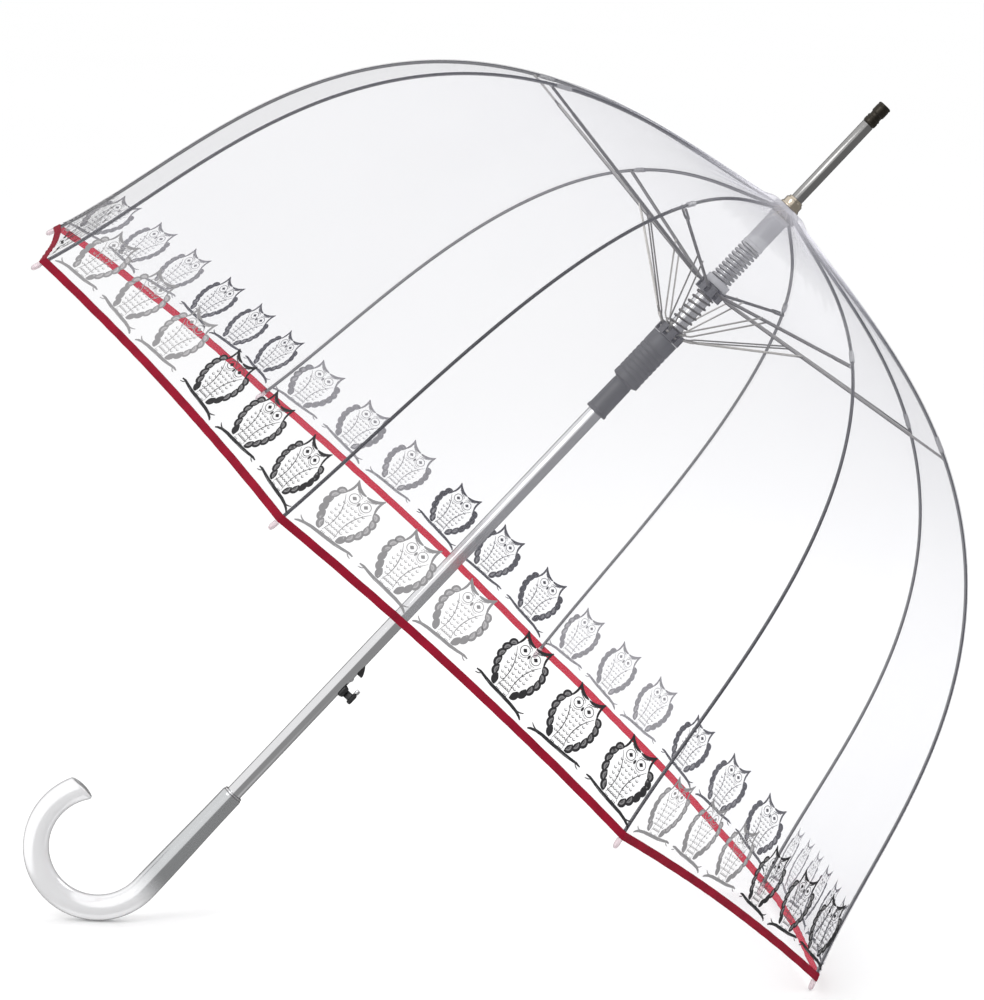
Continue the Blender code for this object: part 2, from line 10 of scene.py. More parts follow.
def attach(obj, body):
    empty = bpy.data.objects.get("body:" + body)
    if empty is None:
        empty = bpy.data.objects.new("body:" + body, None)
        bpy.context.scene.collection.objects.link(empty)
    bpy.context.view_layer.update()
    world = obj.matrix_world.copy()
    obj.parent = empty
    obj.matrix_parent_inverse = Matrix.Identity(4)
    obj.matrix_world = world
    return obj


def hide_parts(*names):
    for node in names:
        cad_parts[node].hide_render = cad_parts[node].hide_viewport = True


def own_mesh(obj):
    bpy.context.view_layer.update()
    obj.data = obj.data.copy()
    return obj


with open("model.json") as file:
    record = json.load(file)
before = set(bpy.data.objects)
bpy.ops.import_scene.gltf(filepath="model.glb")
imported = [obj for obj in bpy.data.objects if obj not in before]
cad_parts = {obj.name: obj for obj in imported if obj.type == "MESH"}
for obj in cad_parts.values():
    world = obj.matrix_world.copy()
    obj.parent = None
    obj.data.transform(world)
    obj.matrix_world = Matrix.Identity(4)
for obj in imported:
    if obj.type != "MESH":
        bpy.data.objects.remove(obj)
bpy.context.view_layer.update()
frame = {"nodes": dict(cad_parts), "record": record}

# ---------------------------------------------------------------- the shaft's line
# The umbrella is built along its own shaft: "up" runs to the tip, "low" is the side
# that lies towards the floor, and the eight rib hinges ring the point "notch".
joints = {j["name"]: j for j in frame["record"]["behaviour"]["joints"]}
GORES = 8
up = np.array(joints["runner_slide"]["axis"])
low = -np.array(joints["button_press"]["axis"])
across = np.cross(up, low)
notch = np.mean([joints[f"rib_fold_{k}"]["pos_m"] for k in range(1, GORES + 1)], axis=0)
hub_point = np.mean([joints[f"strut_fold_{k}"]["pos_m"] for k in range(1, GORES + 1)], axis=0)
runner_point = np.mean([joints[f"link_fold_{k}"]["pos_m"] for k in range(1, GORES + 1)], axis=0)
HUB = float((hub_point - notch) @ up)
RUNNER = float((runner_point - notch) @ up)


def placed(points):
    """Points given as (low side, across, up the shaft) from the notch, in the row frame:
    the notch plus each number times its own direction."""
    return notch + points @ np.stack([low, across, up])


# ---------------------------------------------------------------- shaft
# A drawn steel tube, plated and polished, 13 mm across. It runs from under the notch
# into the socket of the handle.


def piece(name, points, faces, smooth=True, uv=None):
    """A mesh object from an array of points and an array or list of faces."""
    mesh = bpy.data.meshes.new(name)
    mesh.from_pydata(points.tolist(), [], faces if isinstance(faces, list) else faces.tolist())
    mesh.polygons.foreach_set("use_smooth", np.full(len(mesh.polygons), smooth))
    if uv is not None:
        layer = mesh.uv_layers.new(name="UVMap")
        corner = np.empty(len(mesh.loops), np.int32)
        mesh.loops.foreach_get("vertex_index", corner)
        layer.data.foreach_set("uv", uv[corner].astype(np.float32).ravel())
    mesh.update()
    made = bpy.data.objects.new(name, mesh)
    bpy.context.scene.collection.objects.link(made)
    return made


def grid_faces(rows, columns, wrapped):
    """Quads of a grid of points, row after row; wrapped joins the last column to the first."""
    last = columns if wrapped else columns - 1
    i, j = np.meshgrid(np.arange(rows - 1) * columns, np.arange(last), indexing="ij")
    k = (j + 1) % columns
    return np.stack([i + j, i + k, i + columns + k, i + columns + j], -1).reshape(-1, 4)


def circle(sides):
    """Angles of the points of a ring."""
    return 2 * np.pi * np.arange(sides) / sides


def facing_out(made):
    """Turns a closed piece's faces outwards."""
    solid = bmesh.new()
    solid.from_mesh(made.data)
    bmesh.ops.remove_doubles(solid, verts=solid.verts, dist=1e-7)
    bmesh.ops.recalc_face_normals(solid, faces=solid.faces)
    if solid.calc_volume(signed=True) < 0:
        bmesh.ops.reverse_faces(solid, faces=solid.faces)
    solid.to_mesh(made.data)
    solid.free()
    return made


def turned(name, profile, sides=64, rounding=0.0003):
    """A turned piece about the shaft: each (radius, height) of the profile is carried round
    a circle. Corners are doubled at the rounding distance so that smooth shading keeps them."""
    line = np.array(profile, float)
    near = []
    for step in (1, -1):
        run = np.roll(line, step, 0) - line
        length = np.linalg.norm(run, axis=1, keepdims=True)
        near.append(line + run / np.maximum(length, 1e-9) * np.minimum(rounding, length * 0.4))
    middle = line * 0.4 + (near[0] + near[1]) * 0.3
    line = np.stack([near[0], middle, near[1]], 1).reshape(-1, 2)
    angle = circle(sides)
    radius, height = line[:, :1], line[:, 1:]
    ring = np.stack([radius * np.cos(angle), radius * np.sin(angle), height + 0 * angle], -1)
    closed = grid_faces(len(line) + 1, sides, True) % (len(line) * sides)
    return facing_out(piece(name, placed(ring.reshape(-1, 3)), closed))


def feed(tree, node, inputs):
    """Sets a shader node's inputs: each takes a value, or the output that is linked to it."""
    for socket, value in inputs.items():
        if isinstance(value, bpy.types.NodeSocket):
            tree.links.new(value, node.inputs[socket])
        else:
            node.inputs[socket].default_value = value


def node_output(tree, kind, output, inputs=None, **settings):
    """One output of a new shader node, with the node's inputs and settings."""
    node = tree.nodes.new("ShaderNode" + kind)
    for setting, value in settings.items():
        setattr(node, setting, value)
    feed(tree, node, inputs or {})
    return node.outputs[output]


def noise(tree, place, scale, **inputs):
    """Noise at a place, with its other inputs by name."""
    return node_output(tree, "TexNoise", "Fac", {"Vector": place, "Scale": scale, **inputs})


def mixed(tree, share, first, second):
    """Two colours mixed by a share."""
    return node_output(tree, "Mix", 2, {0: share, 6: first, 7: second}, data_type="RGBA")


def ranged(tree, value, low, high, start=0.0, stop=1.0, **settings):
    """A value between start and stop carried over to low and high."""
    given = {"Value": value, "From Min": start, "From Max": stop, "To Min": low, "To Max": high}
    return node_output(tree, "MapRange", "Result", given, **settings)


def reckoned(tree, operation, *values, **settings):
    """The result of a Math node on its values."""
    return node_output(tree, "Math", "Value", dict(enumerate(values)), operation=operation, **settings)


def relief_of(tree, height, strength, distance):
    """The normal of a fine relief."""
    given = {"Height": height, "Strength": strength, "Distance": distance}
    return node_output(tree, "Bump", "Normal", given)


def new_material(name):
    """A new material with its shader tree and its Principled shader."""
    made = bpy.data.materials.new(name)
    made.use_nodes = True
    return made, made.node_tree, made.node_tree.nodes["Principled BSDF"]


def handled_surface():
    """Fine handling marks: two sizes of noise on Object coordinates. Shade is a slow
    darkening and lightening, Rough the change of roughness, Height a fine relief."""
    tree = bpy.data.node_groups.new("handled_surface", "ShaderNodeTree")
    new_socket = tree.interface.new_socket
    new_socket("Scale", in_out="INPUT", socket_type="NodeSocketFloat").default_value = 40.0
    for label in ("Shade", "Rough", "Height"):
        new_socket(label, in_out="OUTPUT", socket_type="NodeSocketFloat")
    scale = tree.nodes.new("NodeGroupInput").outputs["Scale"]
    place = node_output(tree, "TexCoord", "Object")
    slow = noise(tree, place, scale, Detail=4.0)
    fine = noise(tree, place, reckoned(tree, "MULTIPLY", scale, 14.0), Detail=6.0)
    feed(tree, tree.nodes.new("NodeGroupOutput"), {"Shade": slow, "Rough": fine, "Height": fine})
    return tree


handled = handled_surface()


def finish_of(name, dark, light, rough, metallic=0.0, scale=40.0, relief=0.02, extra=None):
    """A finish made of two near colours mixed by slow noise, with its roughness between two
    values and a fine relief. Extra holds other inputs of the shader."""
    made, tree, shader = new_material(name)
    marks = tree.nodes.new("ShaderNodeGroup")
    marks.node_tree = handled
    marks.inputs["Scale"].default_value = scale
    feed(tree, shader, {
        "Base Color": mixed(tree, marks.outputs["Shade"], (*dark, 1), (*light, 1)),
        "Roughness": ranged(tree, marks.outputs["Rough"], *rough, 0.3, 0.7),
        "Normal": relief_of(tree, marks.outputs["Height"], relief, 0.0006),
        "Metallic": metallic,
        "Coat Roughness": 0.08,
        **(extra or {}),
    })
    return made


def rides(made, body, finish, slot, *nodes):
    """Gives a piece its finish, its body and the CAD nodes that it stands for. The slot is not used."""
    made.data.materials.clear()
    made.data.materials.append(finish)
    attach(made, body)
    if nodes:
        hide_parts(*nodes)
    return made


SHAFT = 0.0065
BORE = 0.0058
SHAFT_TOP = -0.0050
SHAFT_END = -0.7380
plated = finish_of("plated_steel", (0.68, 0.68, 0.69), (0.76, 0.76, 0.77), (0.09, 0.16), 1.0, 30.0, 0.006)
shaft = turned(
    "shaft_tube_drawn",
    [(BORE, SHAFT_END), (SHAFT, SHAFT_END), (SHAFT, SHAFT_TOP), (BORE, SHAFT_TOP)],
    rounding=0.0002,
)
rides(shaft, "shaft", plated, "bright_steel", "shaft_tube")

# ---------------------------------------------------------------- ferrule and tip cap
# A solid steel rod carries the top of the umbrella. Its end is a dark bronzed cap with a
# rolled waist and two turned lines.
FERRULE = 0.0052
TIP = float((np.array(frame["record"]["mounts"][0]["pos_m"]) - notch) @ up)
CAP = 0.0057
CAP_LENGTH = 0.020
cap_foot = TIP - CAP_LENGTH
satin_steel = finish_of(
    "satin_steel", (0.28, 0.275, 0.27), (0.38, 0.375, 0.37), (0.14, 0.24), 1.0, 45.0, 0.02,
)
rod = turned(
    "ferrule_turned",
    [(0.0002, 0.0046), (FERRULE, 0.0046), (FERRULE, cap_foot - 0.0003), (0.0002, cap_foot - 0.0003)],
)
rides(rod, "shaft", satin_steel, "ferrule_metal", "ferrule_rod")
bronzed = finish_of(
    "bronzed_cap", (0.016, 0.014, 0.011), (0.052, 0.045, 0.034), (0.25, 0.42), 0.8, 160.0, 0.06,
)
cap = turned(
    "tip_cap_turned",
    [
        (0.0002, cap_foot), (CAP * 0.93, cap_foot), (CAP, cap_foot + 0.0016), (CAP, cap_foot + 0.0042),
        (CAP * 0.93, cap_foot + 0.0046), (CAP * 0.93, cap_foot + 0.0052), (CAP, cap_foot + 0.0056),
        (CAP, cap_foot + 0.0064), (CAP * 0.87, cap_foot + 0.0074), (CAP * 0.87, cap_foot + 0.0098),
        (CAP, cap_foot + 0.0110), (CAP, TIP - 0.0032), (CAP * 0.95, TIP - 0.0028),
        (CAP * 0.95, TIP - 0.0022), (CAP, TIP - 0.0018), (CAP, TIP - 0.0009), (CAP * 0.86, TIP),
        (0.0002, TIP),
    ],
    rounding=0.00025,
)
rides(cap, "shaft", bronzed, "tip_bronze", "tip_cap")

# ---------------------------------------------------------------- top collar and notch
# A spun steel cone presses the film down over the notch. The notch is a grey moulding with
# eight slots, and a wire ring holds the ribs' hooks in it.
warm_nickel = finish_of("warm_nickel", (0.46, 0.39, 0.31), (0.70, 0.63, 0.53), (0.08, 0.2), 1.0, 90.0, 0.03)
collar = turned(
    "apex_collar_spun",
    [
        (0.0055, 0.0053), (0.0088, 0.0053), (0.0088, 0.0062), (0.0085, 0.0068), (0.0078, 0.0074),
        (0.0078, 0.0112), (0.0074, 0.0120), (0.0066, 0.0124), (0.0064, 0.0140), (0.0055, 0.0140),
    ],
    sides=72,
)
rides(collar, "shaft", warm_nickel, "bright_steel", "apex_collar")
grey_moulding = finish_of(
    "grey_moulding", (0.058, 0.058, 0.063), (0.092, 0.092, 0.099), (0.34, 0.5), 0.0, 60.0, 0.05,
)
pale_moulding = finish_of(
    "pale_moulding", (0.33, 0.33, 0.345), (0.43, 0.43, 0.445), (0.30, 0.45), 0.0, 60.0, 0.05,
)


def refinished(node, finish):
    """A CAD node that keeps its shape and gets a better finish."""
    for place in frame["nodes"][node].material_slots:
        place.material = finish


for node in ("top_notch", "spreader_hub", "runner_crown"):
    refinished(node, grey_moulding)
for node in ("notch_wire", "hub_wire", "runner_wire"):
    refinished(node, plated)

# ---------------------------------------------------------------- sleeve and buffer spring
# A plain grey sleeve keeps the buffer spring at its distance under the notch. The spring
# stops the spreader hub softly when the umbrella flies open.
sleeve = turned(
    "top_sleeve_moulded",
    [
        (SHAFT + 0.0003, -0.0380), (0.0092, -0.0380), (0.0092, -0.0352), (0.0088, -0.0346),
        (0.0088, -0.0082), (0.0092, -0.0076), (0.0092, -0.0046), (SHAFT + 0.0003, -0.0046),
    ],
    sides=48, rounding=0.0002,
)
rides(sleeve, "shaft", pale_moulding, "grey_plastic", "top_sleeve")
WIRE_SIDES = 10
STEPS_A_TURN = 40


def capped(rows, sides):
    """Faces of a tube of rings, closed by one face at each end."""
    ends = [list(range(sides)), list(range((rows - 1) * sides, rows * sides))]
    return grid_faces(rows, sides, True).tolist() + ends


def wound(name, radius, wire, bottom, top, pitch):
    """A wound spring: a ring of points of the wire's radius is carried along a helix whose
    pitch closes up over the first and last turn, where the ends are ground flat."""
    turns = (top - bottom) / pitch + 1.5
    along = np.linspace(0, 1, int(turns * STEPS_A_TURN))[:, None]
    angle = 2 * np.pi * turns * along
    ease = np.clip((along * turns - 0.9) / (turns - 1.8), 0, 1)
    height = bottom + (top - bottom) * ease + (along - 0.5) * wire * 0.4
    round_wire = circle(WIRE_SIDES)
    distance = radius + wire * np.cos(round_wire)
    rise = height + wire * np.sin(round_wire)
    points = np.stack([distance * np.cos(angle), distance * np.sin(angle), rise], -1)
    return facing_out(piece(name, placed(points.reshape(-1, 3)), capped(len(along), WIRE_SIDES)))


spring_steel = finish_of(
    "spring_steel", (0.11, 0.105, 0.095), (0.22, 0.21, 0.195), (0.24, 0.36), 0.9, 90.0, 0.03,
)
zinc_wire = finish_of("zinc_wire", (0.29, 0.29, 0.295), (0.42, 0.42, 0.425), (0.30, 0.42), 0.7, 90.0, 0.03)
CROWN_HALF = 0.0042
buffer = wound("buffer_spring_wound", 0.0082, 0.0012, HUB + CROWN_HALF + 0.0018, -0.0398, 0.0036)
rides(buffer, "shaft", zinc_wire, "bright_steel", "buffer_spring")

# ---------------------------------------------------------------- runner, hub and opening spring
# The runner is the grey sleeve that slides on the shaft: a stout upper barrel with grip
# lines, a step, a narrow neck and a small flange at its lower end. The opening spring
# is held between its slotted crown and the spreader hub.
RUNNER_FOOT = -0.2190
RUNNER_STEP = -0.1850
barrel_top = RUNNER - CROWN_HALF - 0.0013
BARREL = 0.0120
GROOVE = 0.0115
ridges = []
for at in RUNNER_STEP + 0.0060 + 0.0046 * np.arange(7):
    ridges += [(BARREL, at), (GROOVE, at + 0.0005), (GROOVE, at + 0.0012), (BARREL, at + 0.0017)]
runner = turned(
    "runner_moulded",
    [
        (0.0069, RUNNER_FOOT), (0.0094, RUNNER_FOOT), (0.0094, RUNNER_FOOT + 0.0028),
        (0.0088, RUNNER_FOOT + 0.0036), (0.0086, RUNNER_STEP - 0.0030), (0.0082, RUNNER_STEP - 0.0022),
        (0.0084, RUNNER_STEP - 0.0012), (BARREL, RUNNER_STEP + 0.0005), *ridges, (BARREL, barrel_top),
        (0.0069, barrel_top),
    ],
    sides=72,
)
rides(runner, "runner", grey_moulding, "grey_plastic", "runner_sleeve")
cup = turned(
    "hub_cup_moulded",
    [
        (0.0096, HUB + CROWN_HALF + 0.0003), (0.0108, HUB + CROWN_HALF + 0.0003), (0.0108, HUB + 0.0100),
        (0.0104, HUB + 0.0106), (0.0096, HUB + 0.0106),
    ],
)
rides(cup, "hub", pale_moulding, "grey_plastic")
spring_foot = RUNNER + CROWN_HALF + 0.0012
spring = wound("opening_spring_wound", 0.0077, 0.0008, spring_foot, HUB - CROWN_HALF - 0.0024, 0.0050)
rides(spring, "runner", spring_steel, "bright_steel", "opening_spring")
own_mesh(spring)

# ---------------------------------------------------------------- crook handle
# A hollow-moulded crook of pearly white plastic, clear-coated, a little slimmer at the
# mouth than at the bend. A parting line runs round it, and its end is a flat plug.
HANDLE_TOP = -0.6430
BEND_AT = -0.7473
BEND = 0.0500
GRIP_TOP, GRIP = 0.0090, 0.0104
BEND_TURN = math.radians(208)
SLANT = 0.0052
CROOK_SIDES = 56


def attribute(made, name, values, kind="FLOAT"):
    """Gives a mesh an attribute with one value, or one vector, for each point."""
    kept = made.data.attributes.new(name, kind, "POINT").data
    kept.foreach_set("value" if kind == "FLOAT" else "vector", values.astype(np.float32).ravel())


def crook(name):
    """The crook: a circle is carried along a straight and then round an arc. The radius
    grows from the mouth to the bend, and rounds off at both ends; the last part leans on
    at the inside of the bend, so the end is cut at a slant. The core attribute is 1 where
    the shaft's tube stands inside, and fades to 0 past its end."""
    straight = HANDLE_TOP - BEND_AT
    length = straight + BEND * BEND_TURN
    rim, plug = np.array([0, 0.0004, 0.0012]), np.array([-0.0024, -0.0014, -0.0006, -0.0001, 0.0])
    along = np.concatenate([rim, np.linspace(0.0025, length - 0.0035, 120), length + plug])
    turn = np.clip((along - straight) / BEND, 0, None)
    z = HANDLE_TOP - np.minimum(along, straight)
    grown = np.clip(along / straight, 0, 1)
    radius = GRIP_TOP + (GRIP - GRIP_TOP) * grown * grown * (3 - 2 * grown)
    radius = radius - 0.0007 * np.exp(-along / 0.0005)
    to_end = length - along
    radius = radius - 0.0016 * np.clip(1 - to_end / 0.0020, 0, 1) ** 2.6
    angle = circle(CROOK_SIDES)
    late = np.clip(1 - to_end / 0.035, 0, 1) ** 2
    turn = turn[:, None] + late[:, None] * SLANT / BEND * (1 - np.cos(angle))
    centre = np.stack([BEND * (np.cos(turn) - 1), 0 * turn, z[:, None] - BEND * np.sin(turn)], -1)
    outward = np.stack([np.cos(turn), 0 * turn, -np.sin(turn)], -1)
    around = outward * np.cos(angle)[:, None] + np.array([0.0, 1.0, 0.0]) * np.sin(angle)[:, None]
    ring = centre + radius[:, None, None] * around
    parting = 0.00012 * np.exp(-(np.sin(angle) ** 2) / 0.0012)
    ring = ring - parting[None, :, None] * (ring - centre) / radius[:, None, None]
    points = np.concatenate([ring.reshape(-1, 3), [ring[-1].mean(0), ring[0].mean(0)]])
    faces = grid_faces(len(along), CROOK_SIDES, True).tolist()
    end, mouth = len(points) - 2, len(points) - 1
    ahead = [*range(1, CROOK_SIDES), 0]
    faces += [[end - CROOK_SIDES + i, end - CROOK_SIDES + j, end] for i, j in enumerate(ahead)]
    faces += [[j, i, mouth] for i, j in enumerate(ahead)]
    made = piece(name, placed(points), faces)
    fade = np.clip((HANDLE_TOP - SHAFT_END + 0.022 - along) / 0.034, 0, 1)
    core = np.repeat(fade * fade * (3 - 2 * fade), CROOK_SIDES)
    attribute(made, "core", np.concatenate([core, [0.0, 1.0]]))
    return facing_out(made)


def tinted(made, name, colour):
    """Mixes a finish's base colour towards another colour by a mesh attribute, and gives
    the attribute's output."""
    tree = made.node_tree
    base = tree.nodes["Principled BSDF"].inputs["Base Color"]
    mask = node_output(tree, "Attribute", "Fac", attribute_name=name)
    tree.links.new(mixed(tree, mask, base.links[0].from_socket, colour), base)
    return mask


def pearl_material():
    """Pearly moulding: silver over the hidden tube and paler where it is solid, told by
    the core attribute. Slow swirls of the pearl vary the shade, under a clear coat."""
    pale, paler = (0.82, 0.82, 0.83), (0.90, 0.90, 0.91)
    made = finish_of("pearl_moulding", pale, paler, (0.10, 0.18), 0.4, 22.0, 0.004, {"Coat Weight": 0.8})
    core = tinted(made, "core", (0.56, 0.57, 0.58, 1))
    tree = made.node_tree
    feed(tree, tree.nodes["Principled BSDF"], {"Metallic": ranged(tree, core, 0.36, 0.95)})
    return made


pearl = pearl_material()
handle = crook("crook_moulded")
rides(handle, "shaft", pearl, "pearl_plastic", "crook_handle")
mouth_ring = turned(
    "handle_ring_spun",
    [
        (SHAFT + 0.0003, HANDLE_TOP + 0.0003), (0.0082, HANDLE_TOP + 0.0003), (0.0084, HANDLE_TOP + 0.0008),
        (0.0080, HANDLE_TOP + 0.0016), (SHAFT + 0.0003, HANDLE_TOP + 0.0017),
    ],
)
rides(mouth_ring, "shaft", plated, "bright_steel", "handle_collar")

# ---------------------------------------------------------------- release button and catch
# A black moulded button stands out of the lower side of the shaft on its own saddle, with
# a plated lug on its head. The small black catch above it holds the closed runner, and
# between them the tube is crimped over the spring that pushes both out.
BUTTON = -0.5210
CATCH = -0.4985
black_moulding = finish_of(
    "black_moulding", (0.006, 0.006, 0.007), (0.020, 0.020, 0.021), (0.30, 0.48), 0.0, 90.0, 0.08,
)


def stood_out(name, stations, height, saddle=None, sides=40):
    """A moulding that stands square out of the shaft: each station gives the distance out
    and the half sizes across and along the shaft of a rounded rectangle, the superellipse
    of power four. A saddle radius drops the first ring onto the tube's round side."""
    out, wide, tall = np.array(stations, float).T
    angle = circle(sides)
    across_part = np.sign(np.cos(angle)) * np.abs(np.cos(angle)) ** 0.5
    along_part = np.sign(np.sin(angle)) * np.abs(np.sin(angle)) ** 0.5
    y = wide[:, None] * across_part
    z = height + tall[:, None] * along_part
    x = out[:, None] + 0 * y
    if saddle:
        x[0] = np.sqrt(saddle**2 - y[0] ** 2)
    points = np.stack([x, y, z], -1).reshape(-1, 3)
    return facing_out(piece(name, placed(points), capped(len(out), sides)))


foot = stood_out(
    "button_saddle_moulded",
    [
        (0.0, 0.0046, 0.0050), (0.0072, 0.0046, 0.0050), (0.0078, 0.0045, 0.0049), (0.0094, 0.0036, 0.0042),
        (0.0098, 0.0033, 0.0039), (0.0098, 0.0027, 0.0034), (0.0069, 0.0026, 0.0033),
    ],
    BUTTON,
    SHAFT + 0.0003,
)
rides(foot, "shaft", black_moulding, "black_plastic", "button_housing")
button = stood_out(
    "release_button_moulded",
    [
        (0.0100, 0.0024, 0.0031), (0.0144, 0.0024, 0.0031), (0.0150, 0.0030, 0.0036),
        (0.0152, 0.0040, 0.0045),
        (0.0156, 0.0042, 0.0047), (0.0176, 0.0042, 0.0047), (0.0181, 0.0040, 0.0045),
        (0.0184, 0.0035, 0.0040),
    ],
    BUTTON,
)
rides(button, "button", black_moulding, "black_plastic", "release_button")
lug = stood_out(
    "button_lug_plated",
    [
        (0.0148, 0.0012, 0.0015), (0.0150, 0.0016, 0.0019), (0.0178, 0.0016, 0.0019),
        (0.0182, 0.0013, 0.0016),
    ],
    BUTTON + 0.0068,
)
rides(lug, "button", plated, "bright_steel")
crimp = stood_out(
    "tube_crimp_pressed",
    [
        (0.0058, 0.0022, 0.0026), (0.0066, 0.0019, 0.0023), (0.0072, 0.0013, 0.0016),
        (0.0075, 0.0005, 0.0007),
    ],
    BUTTON + 0.0115,
)
rides(crimp, "shaft", plated, "bright_steel")


def wedge(name, outline, half, edge):
    """A flat-sided wedge: its outline of (out, along) points is repeated across the shaft,
    drawn in by the edge at both faces."""
    line = np.array(outline, float)
    middle = line.mean(0)
    inward = middle + (line - middle) * (1 - edge / np.linalg.norm(line - middle, axis=1, keepdims=True))
    rows = [(inward, -half), (line, -half + edge), (line, half - edge), (inward, half)]
    points = np.concatenate([np.stack([r[:, 0], 0 * r[:, 0] + y, r[:, 1]], -1) for r, y in rows])
    return facing_out(piece(name, placed(points), capped(len(rows), len(line)), False))


catch = wedge(
    "runner_catch_moulded",
    [
        (0.0036, CATCH - 0.0049), (0.0102, CATCH - 0.0049), (0.0107, CATCH - 0.0045),
        (0.0107, CATCH - 0.0032),
        (0.0099, CATCH - 0.0010), (0.0084, CATCH + 0.0018), (0.0066, CATCH + 0.0043),
        (0.0036, CATCH + 0.0058),
    ],
    0.0016,
    0.0003,
)
rides(catch, "catch", black_moulding, "black_plastic", "runner_catch")

# ---------------------------------------------------------------- ribs
# Each rib is a rod of dark spring steel, hooked flat round the notch wire and bent
# to the dome's curve: nearly flat at the top, turning at the shoulder, flaring at the hem.
RIB_LENGTH = 0.661
RIB = 0.00135
HINGE = 0.0100
HOOK = 0.0014
HOOK_TURN = math.radians(235)
TOP_SLOPE, HEM_SLOPE = math.radians(78.3), math.radians(20.7)
SLOPE_SAG = 0.374
SHOULDER = 2.372
DOME_STEPS = 2000


def dome_line(share, lift=0.0):
    """Radius and height of the dome's line at shares of the rib's length. The slope from
    the shaft falls from the top's to the hem's, bunched at the shoulder; the line is the
    sum of its short steps, and lift moves it along its outward normal."""
    fine = np.linspace(0, 1, DOME_STEPS + 1)
    slope = TOP_SLOPE + (HEM_SLOPE - TOP_SLOPE) * fine
    slope = slope - SLOPE_SAG * fine * (1 - fine) + SHOULDER * fine * (1 - fine) * (1 - 2 * fine)
    step = RIB_LENGTH / DOME_STEPS
    mean = (slope[1:] + slope[:-1]) / 2
    radius = HINGE + np.concatenate([[0], np.cumsum(np.sin(mean) * step)])
    height = HOOK - np.concatenate([[0], np.cumsum(np.cos(mean) * step)])
    here = np.interp(share, fine, slope)
    return (
        np.interp(share, fine, radius) + lift * np.cos(here),
        np.interp(share, fine, height) + lift * np.sin(here),
        here,
    )


def rib_azimuth(k):
    """Angle of rib k round the shaft from the low side."""
    return 2 * math.pi * (k - 0.5) / GORES


def rod_along(line, width, thickness, sides):
    """A rod in the plane of a rib: an ellipse carried square to a line of (radius, height),
    with its half width across the plane and its half thickness in it."""
    step = np.gradient(line, axis=0)
    step = step / np.linalg.norm(step, axis=1, keepdims=True)
    normal = np.stack([-step[:, 1], step[:, 0]], -1)
    angle = circle(sides)
    offset = thickness[:, None] * np.sin(angle)
    x = line[:, :1] + normal[:, :1] * offset
    z = line[:, 1:] + normal[:, 1:] * offset
    return np.stack([x, width[:, None] * np.cos(angle), z], -1).reshape(-1, 3)


def round_the_shaft(points, turn):
    """The same points turned about the shaft by an angle."""
    c, s = math.cos(turn), math.sin(turn)
    return points @ np.array([[c, s, 0], [-s, c, 0], [0, 0, 1]])


def rod_piece(name, points, sides, turn):
    """The rod's points turned to its rib and closed at both ends."""
    faces = capped(len(points) // sides, sides)
    return facing_out(piece(name, placed(round_the_shaft(points, turn)), faces))


# dark spring steel, with painted light: the side towards the shaft, where the folded ribs lie on it, is
# tinted paler as if lit
rib_steel = finish_of(
    "rib_steel", (0.020, 0.020, 0.022), (0.050, 0.050, 0.053), (0.30, 0.46), 0.5, 70.0, 0.04,
)
# painted light: a pale tint on the rod's side towards the shaft
tinted(rib_steel, "painted_light_side", (0.20, 0.20, 0.205, 1))
HOOK_POINTS = 22
HOOK_FLAT = 0.0005
RIB_START = 0.008
RIB_SIDES = 12
hook_angle = TOP_SLOPE + HOOK_TURN * np.linspace(1, 0, HOOK_POINTS)
hook_line = np.stack([HINGE + HOOK * np.cos(hook_angle), HOOK * np.sin(hook_angle)], -1)
shares = np.linspace(RIB_START, 1, 110)
r, z, _ = dome_line(shares)
rib_line = np.concatenate([hook_line, np.stack([r, z], -1)])
rounder = np.concatenate([np.zeros(HOOK_POINTS), np.clip((shares - RIB_START) / 0.02, 0, 1)])
rib_round = np.full(len(rib_line), RIB)
rib_points = rod_along(rib_line, rib_round, HOOK_FLAT + (RIB - HOOK_FLAT) * rounder, RIB_SIDES)
# painted light: how much of the pale tint each point of the rod gets, most on the side towards the shaft
rib_painted_light_side = np.tile(np.clip(0.5 - 1.2 * np.sin(circle(RIB_SIDES)), 0, 1), len(rib_line))
for k in range(1, GORES + 1):
    rib = rod_piece(f"rib_rod_{k}", rib_points, RIB_SIDES, rib_azimuth(k))
    attribute(rib, "painted_light_side", rib_painted_light_side)
    rides(rib, f"rib_body_{k}", rib_steel, "dark_steel", f"rib_{k}")

# ---------------------------------------------------------------- rib ends
# A clear moulded bead is pressed on each rib's end and tied through the hem. It has a
# shoulder, a thread groove and a round nose.
clear_bead = finish_of(
    "clear_bead", (0.78, 0.66, 0.70), (0.88, 0.78, 0.81), (0.08, 0.18), 0.0, 80.0, 0.03,
    {"Transmission Weight": 0.45, "IOR": 1.49},
)
BEAD_SIDES = 20
bead_along, bead_size = np.array([
    (0.0004, 0.0008), (0.0006, 0.0019), (0.0020, 0.0022), (0.0026, 0.0021), (0.0030, 0.0016),
    (0.0040, 0.0016), (0.0044, 0.0021), (0.0052, 0.0022), (0.0085, 0.0022), (0.0103, 0.0020),
    (0.0114, 0.0015), (0.0120, 0.0008), (0.0122, 0.0001),
]).T
end_r, end_z, end_slope = (float(v) for v in dome_line(1.0))
bead_way = np.array([math.sin(end_slope), -math.cos(end_slope)])
bead_line = np.array([end_r, end_z]) + bead_along[:, None] * bead_way
bead_points = rod_along(bead_line, bead_size, bead_size, BEAD_SIDES)
for k in range(1, GORES + 1):
    bead = rod_piece(f"rib_bead_{k}", bead_points, BEAD_SIDES, rib_azimuth(k))
    rides(bead, f"rib_body_{k}", clear_bead, "clear_plastic", f"rib_tip_{k}")

